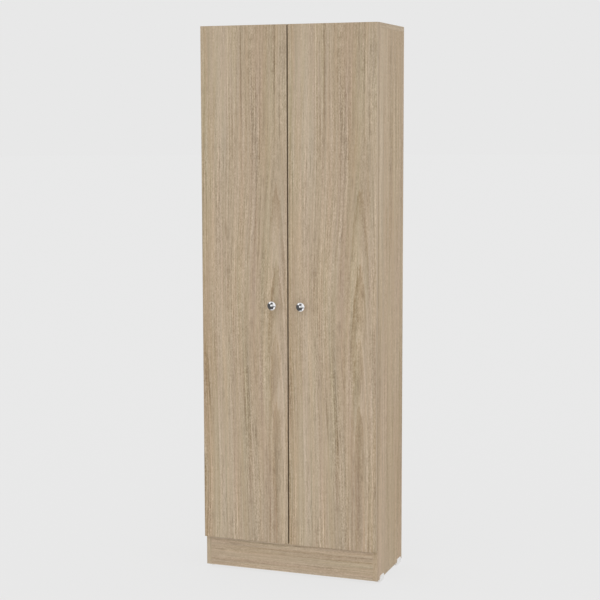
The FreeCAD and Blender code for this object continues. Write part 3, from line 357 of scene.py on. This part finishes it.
# One sheet of decor serves both doors, so they share their figure; it sits 18 mm further left on the right one.
WIDE = 0.298
FIGURE = (
    ("veil", 0.25 * WIDE, 0.10, 0.034, 0.46, 0.006, 1.05),
    ("veil", 0.27 * WIDE, 1.52, 0.032, 0.36, 0.004, 0.75),
    ("veil", 0.24 * WIDE, 0.95, 0.026, 0.34, 0.0, 0.45),
    ("umber", 0.76 * WIDE, 0.06, 0.052, 0.46, -0.02, 0.80),
    ("pale", 0.92 * WIDE, 1.52, 0.0120, 0.160, 0.0, 0.45),
    ("umber", 0.72 * WIDE, 1.64, 0.048, 0.34, 0.0, 0.35),
    ("umber", 0.42 * WIDE, 0.82, 0.024, 0.26, 0.0, 0.85),
    ("umber", 0.05 * WIDE, 0.34, 0.022, 0.46, 0.0, 0.72),
    ("russet", 0.04 * WIDE, 1.14, 0.020, 0.42, 0.0, 0.85),
    ("straw", 0.06 * WIDE, 0.30, 0.022, 0.34, 0.0, 1.00),
    ("straw", 0.14 * WIDE, 1.50, 0.024, 0.28, 0.0, 0.90),
    ("ash", 0.94 * WIDE, 0.95, 0.016, 0.40, 0.0, 0.90),
    ("ash", 0.60 * WIDE, 0.72, 0.036, 0.26, -0.03, 0.80),
    ("pale", 0.900 * WIDE, 1.185, 0.0085, 0.055, -0.05, 1.40),
    ("pale", 0.960 * WIDE, 1.05, 0.0060, 0.32, 0.0, 0.55),
    ("dark", 0.472 * WIDE, 0.12, 0.0042, 0.24, 0.0, 1.00),
    ("dark", 0.683 * WIDE, 0.60, 0.0032, 0.20, -0.045, 0.80),
    ("dark", 0.50 * WIDE, 1.235, 0.0035, 0.085, 0.055, 1.25),
    ("dark", 0.63 * WIDE, 1.33, 0.0030, 0.050, 0.02, 1.05),
    ("dark", 0.255 * WIDE, 0.505, 0.0040, 0.012, 0.0, 0.55),
    ("dark", 0.285 * WIDE, 0.655, 0.0044, 0.024, 0.0, 0.85),
    ("dark", 0.06 * WIDE, 1.15, 0.0034, 0.13, 0.08, 0.90),
    ("dark", 0.86 * WIDE, 0.10, 0.0036, 0.16, 0.01, 0.55),
    ("dark", 0.87 * WIDE, 1.42, 0.0050, 0.18, 0.0, 0.70),
)
BENDS = (
    (0.60 * WIDE, 0.93, 0.080, 0.36, 0.020),
    (0.04 * WIDE, 1.45, 0.040, 0.30, -0.016),
)
OWN = {  # where the two doors differ
    "left_door": [
        ("veil", 0.83 * WIDE, 0.63, 0.042, 0.20, 0.0, 0.72),
        ("veil", 0.42 * WIDE, 1.24, 0.024, 0.13, 0.0, 0.50),
        ("umber", 0.26 * WIDE, 1.12, 0.030, 0.20, 0.0, 0.66),
        ("veil", 0.95 * WIDE, 1.47, 0.020, 0.34, 0.0, 0.62),
        ("russet", 0.05 * WIDE, 1.65, 0.030, 0.13, 0.0, 0.95),
        ("russet", 0.03 * WIDE, 1.18, 0.016, 0.28, 0.0, 0.40),
    ],
    "right_door": [
        ("veil", 0.26 * WIDE, 0.52, 0.026, 0.26, 0.0, 0.75),
        ("veil", 0.76 * WIDE, 0.62, 0.034, 0.15, 0.0, 0.45),
        ("russet", 0.06 * WIDE, 1.66, 0.030, 0.12, 0.0, 0.95),
        ("umber", 0.06 * WIDE, 0.00, 0.026, 0.10, 0.0, 0.80),
        ("umber", 0.07 * WIDE, 0.98, 0.024, 0.45, 0.0, 0.52),
        ("veil", 0.42 * WIDE, 1.34, 0.026, 0.22, 0.0, 0.75),
        ("umber", 0.93 * WIDE, 1.48, 0.018, 0.22, 0.0, 0.50),
    ],
}
# both doors take painted shade on their meeting edges at x = 0, for the shadow in the gap between them
for name, slide in (("left_door", 0.0), ("right_door", 0.018)):
    oak_board(name, 2, 4.0, (0.262 - slide, 0.072, 0.033, 1.0),
              [(kind, u - slide, *rest) for kind, u, *rest in FIGURE] + OWN[name],
              [(u - slide, *rest) for u, *rest in BENDS], gap_shade_at=0.0)
oak_board("left_side_panel", 2, 21.0)
oak_board("right_side_panel", 2, 33.0, marks=[
    ("veil", 0.040, 0.10, 0.036, 0.75, 0.0, 0.95),
    ("veil", 0.045, 1.70, 0.036, 0.60, 0.0, 0.90),
    ("umber", 0.240, 0.10, 0.050, 0.60, 0.0, 1.00),
    ("umber", 0.150, 0.10, 0.034, 0.50, 0.0, 0.60),
    ("umber", 0.240, 1.40, 0.070, 0.40, 0.0, 0.25),
    ("umber", 0.140, 0.90, 3.000, 9.00, 0.0, 0.22),
    # painted light: this broad band lifts the whole bottom of the side panel to offset the darker shading near the
    # floor
    ("veil", 0.100, 1.78, 0.300, 0.26, 0.0, 0.50),
    ("russet", 0.120, 1.35, 0.120, 0.50, 0.0, 0.25),
    ("dark", 0.128, 0.16, 0.0060, 0.24, 0.0, 0.75),
    ("dark", 0.150, 1.10, 0.0050, 0.50, 0.0, 0.40),
    ("dark", 0.205, 1.30, 0.0045, 0.40, 0.0, 0.35),
], shows=1, warm=(1.85, -0.05))
oak_board("centre_partition", 2, 47.0)
oak_board("top_panel", 0, 58.0)
oak_board("bottom_panel", 0, 63.0)
oak_board("plinth_board", 0, 72.0, marks=[("umber", 0.30, 0.05, 9.0, 9.0, 0.0, 0.13)], warm=(0.0, 0.75), strong=0.70)
oak_board("broom_bay_shelf", 0, 81.0)
oak_board("fixed_shelf", 0, 95.0)
for i in range(4):
    oak_board(f"adjustable_shelf_{i + 1}", 0, 110.0 + 13 * i)


# ---------------------------------------------------------------- hardboard back
def hardboard(name, seed):
    made, net = material("hardboard_" + name)
    where = net.new("ShaderNodeTexCoord")
    point = where.outputs["Object"]
    x, y, z = net.split(point)
    _, ny, _ = net.split(where.outputs["Normal"])
    inner = net.math("LESS_THAN", ny, -0.5)
    decor, height, gloss = oak_pattern(net, x, net.mul(z, -1.0), seed)
    fibre = net.noise(net.vector(net.mul(x, 900.0), net.mul(y, 900.0), net.mul(z, 900.0)), detail=3.0, rough=0.7)
    cloud = net.noise(net.vector(net.mul(x, 9.0), seed, net.mul(z, 9.0)), detail=3.0, rough=0.6)
    hair = net.noise(net.vector(net.mul(x, 260.0), seed, net.mul(z, 90.0)), detail=2.0, rough=0.6)
    raw = net.blend(net.span(fibre, 0.32, 0.70), (0.185, 0.105, 0.055), (0.345, 0.215, 0.120))
    raw = net.scaled(raw, net.add(0.72, net.mul(cloud, 0.42), net.mul(hair, 0.14)))
    colour = net.blend(inner, raw, net.scaled(decor, 1.02))
    high = net.mix(inner, net.mul(fibre, 1.6), net.mul(height, 0.5))
    rough = net.mix(inner, net.madd(fibre, 0.18, 0.66), net.math("ADD", gloss, -0.03))
    net.surface(Base_Color=colour, Roughness=rough, Normal=net.bump(high, 0.30, 0.00025))
    wear(name, made)


hardboard("back_panel_left", 131.0)
hardboard("back_panel_right", 139.0)


# ---------------------------------------------------------------- metals
def metal(name, tint, dull, rough, spread, lines=(0.0, 0.0, 0.0), grain=900.0, bump=0.04, stain=0.10, bare=1.0):
    """Plated or bare metal: fine finish, faint clouds and handling marks; bare is under 1 on satin plating."""
    made, net = material(name)
    point = net.new("ShaderNodeTexCoord").outputs["Object"]
    x, y, z = net.split(point)
    cloud = net.noise(point, scale=85.0, detail=3.0, rough=0.6)
    tooth = net.noise(point, scale=grain, detail=2.0, rough=0.6)
    if any(lines):
        brush = net.noise(net.vector(net.mul(x, lines[0]), net.mul(y, lines[1]), net.mul(z, lines[2])), detail=2.0, rough=0.7)
    else:
        brush = tooth
    colour = net.blend(net.span(cloud, 0.35, 0.70, 0.0, stain * 4), tint, dull)
    colour = net.scaled(colour, net.madd(brush, 0.16, 0.92))
    worn = net.add(rough - spread, net.mul(cloud, spread * 1.1), net.mul(brush, spread * 0.9))
    net.surface(Base_Color=colour, Metallic=bare, Roughness=worn,
                Normal=net.bump(net.add(net.mul(brush, 0.7), net.mul(tooth, 0.3)), bump, 0.0002))
    return made


chrome = metal("bright_chrome", (0.95, 0.95, 0.96), (0.86, 0.86, 0.88), 0.055, 0.03, grain=420.0, bump=0.004, stain=0.06)
cup_metal = metal("nickel_die_cast", (0.70, 0.68, 0.64), (0.56, 0.54, 0.50), 0.27, 0.09, grain=1300.0, bump=0.06, bare=0.72)
arm_metal = metal("nickel_pressed", (0.74, 0.72, 0.68), (0.60, 0.58, 0.54), 0.24, 0.08, lines=(120.0, 120.0, 2600.0), bump=0.05, bare=0.72)
zinc = metal("bright_zinc", (0.74, 0.76, 0.78), (0.58, 0.61, 0.64), 0.30, 0.09, grain=1500.0, bump=0.05, bare=0.75)
steel = metal("drawn_steel", (0.58, 0.58, 0.57), (0.42, 0.42, 0.41), 0.34, 0.10, lines=(1800.0, 160.0, 1800.0), bump=0.06)
casting = metal("dull_die_cast", (0.50, 0.51, 0.52), (0.36, 0.37, 0.38), 0.46, 0.10, grain=1700.0, bump=0.16, stain=0.14, bare=0.70)


# ---------------------------------------------------------------- plastics and dowels
def moulded(name, tint, shade, rough, scatter=0.0, grain=2600.0, bump=0.06):
    made, net = material(name)
    point = net.new("ShaderNodeTexCoord").outputs["Object"]
    tooth = net.noise(point, scale=grain, detail=1.0)
    flow = net.noise(point, scale=120.0, detail=3.0, rough=0.55)
    colour = net.blend(net.span(flow, 0.35, 0.72, 0.0, 0.8), tint, shade)
    net.surface(Base_Color=colour, Roughness=net.add(rough - 0.05, net.mul(tooth, 0.06), net.mul(flow, 0.05)),
                Subsurface_Weight=scatter, Subsurface_Radius=(0.6, 0.6, 0.5), Subsurface_Scale=0.002,
                Normal=net.bump(tooth, bump, 0.0001))
    return made


foot_white = moulded("moulded_white", (0.93, 0.92, 0.91), (0.86, 0.85, 0.84), 0.42)
soft_dot = moulded("soft_clear", (0.72, 0.72, 0.69), (0.62, 0.62, 0.59), 0.30, grain=1500.0, bump=0.03)

beech, net = material("raw_beech")
x, y, z = net.split(net.new("ShaderNodeTexCoord").outputs["Object"])
strand = net.noise(net.vector(net.mul(x, 160.0), net.mul(y, 1500.0), net.mul(z, 1500.0)), detail=2.0, rough=0.6)
fleck = net.span(net.noise(net.vector(net.mul(x, 420.0), net.mul(y, 2400.0), net.mul(z, 2400.0))), 0.62, 0.78)
colour = net.blend(strand, (0.66, 0.44, 0.24), (0.52, 0.32, 0.16))
colour = net.blend(net.mul(fleck, 0.5), colour, (0.30, 0.16, 0.08))
net.surface(Base_Color=colour, Roughness=net.madd(strand, 0.15, 0.55), Normal=net.bump(strand, 0.2, 0.0002))

BY_SLOT = {
    "knob_chrome": chrome,
    "hinge_cup_nickel": cup_metal,
    "hinge_steel_nickel": arm_metal,
    "screw_zinc": zinc,
    "plain_steel": steel,
    "die_cast_zinc": casting,
    "foot_plastic": foot_white,
    "bumper_soft": soft_dot,
    "beech": beech,
}
for name, slot in slots.items():
    if slot in BY_SLOT:
        wear(name, BY_SLOT[slot])


# ---------------------------------------------------------------- floor
def floor_disc(radius, steps):
    verts = [(0.0, 0.0, 0.0)] + [(radius * math.cos(2 * math.pi * i / steps), radius * math.sin(2 * math.pi * i / steps), 0.0) for i in range(steps)]
    mesh = bpy.data.meshes.new("studio_floor")
    mesh.from_pydata(verts, [], [(0, 1 + i, 1 + (i + 1) % steps) for i in range(steps)])
    obj = bpy.data.objects.new("studio_floor", mesh)
    scene.collection.objects.link(obj)
    obj.location.z = -0.0003
    return obj


GREY = 0.807
floor = floor_disc(60.0, 96)
paint, net = material("pale_floor")
lit = net.new("ShaderNodeBsdfDiffuse")
net.put(lit.inputs["Color"], (0.86, 0.86, 0.86))
glow = net.new("ShaderNodeEmission")
net.put(glow.inputs["Color"], (GREY, GREY, GREY))
both = net.new("ShaderNodeMixShader")
both.inputs[0].default_value = 0.90
net.tree.links.new(lit.outputs[0], both.inputs[1])
net.tree.links.new(glow.outputs[0], both.inputs[2])
out = net.new("ShaderNodeOutputMaterial")
net.tree.links.new(both.outputs[0], out.inputs["Surface"])
floor.data.materials.append(paint)
floor.visible_glossy = False

# ---------------------------------------------------------------- studio light
world = bpy.data.worlds.new("studio")
scene.world = world
world.use_nodes = True
net = Net(world.node_tree)
heading = net.new("ShaderNodeTexCoord").outputs["Generated"]
rays = net.new("ShaderNodeLightPath")


def lobe(direction, inner, outer):
    """A soft-edged round panel of light about a direction; angles in degrees."""
    aim = Vector(direction).normalized()
    near = net.vmath("DOT_PRODUCT", heading, tuple(aim))
    return net.span(near, math.cos(math.radians(outer)), math.cos(math.radians(inner)))


# soft dome for the matt surfaces
dome = net.add(0.90, net.mul(lobe((0.62, -0.62, 0.80), 5.0, 80.0), 0.24))
# panels seen in the bright metal
_, _, up = net.split(heading)
panels = net.add(0.085, net.mul(net.span(up, 0.55, 0.68), 0.60), net.mul(net.span(up, -0.74, -0.86), 0.70))
for turn, rise, inner, outer, power in (
    (-17.0, 1.0, 4.0, 19.0, 0.98),
    (13.0, 6.0, 9.0, 24.0, 0.70),
    (-50.0, 32.0, 12.0, 18.0, 1.00),
    (57.0, 27.0, 39.0, 49.0, 0.92),
    (38.0, -40.0, 17.0, 24.0, 1.00),
    (-120.0, 20.0, 25.0, 40.0, 0.60),
    (170.0, 25.0, 30.0, 45.0, 0.60),
):
    turn, rise = math.radians(turn), math.radians(rise)
    aim = (math.sin(turn) * math.cos(rise), -math.cos(turn) * math.cos(rise), math.sin(rise))
    panels = net.math("MAXIMUM", panels, net.mul(lobe(aim, inner, outer), power))
strength = net.mix(rays.outputs["Is Glossy Ray"], dome, panels)
strength = net.mix(rays.outputs["Is Camera Ray"], strength, GREY)
back = net.new("ShaderNodeBackground")
back.inputs["Color"].default_value = (1.0, 1.0, 1.0, 1.0)
net.put(back.inputs["Strength"], strength)
out = net.new("ShaderNodeOutputWorld")
net.tree.links.new(back.outputs[0], out.inputs["Surface"])

# ---------------------------------------------------------------- camera
FOCAL = 1496.53  # pixels of a 600 pixel frame
data = bpy.data.cameras.new("camera")
data.sensor_width = 36.0
data.lens = FOCAL / 600.0 * 36.0
data.shift_y = -0.03
data.clip_start, data.clip_end = 0.05, 200.0
camera = bpy.data.objects.new("camera", data)
scene.collection.objects.link(camera)
turn = (Matrix.Rotation(math.radians(20.009), 4, "Z") @ Matrix.Rotation(math.radians(90.0 - 6.184), 4, "X")
        @ Matrix.Rotation(math.radians(-0.1362), 4, "Z"))
camera.matrix_world = Matrix.Translation((1.6797, -4.6352, 1.4976)) @ turn
scene.camera = camera
scene.view_settings.view_transform = "Standard"
scene.view_settings.look = "None"
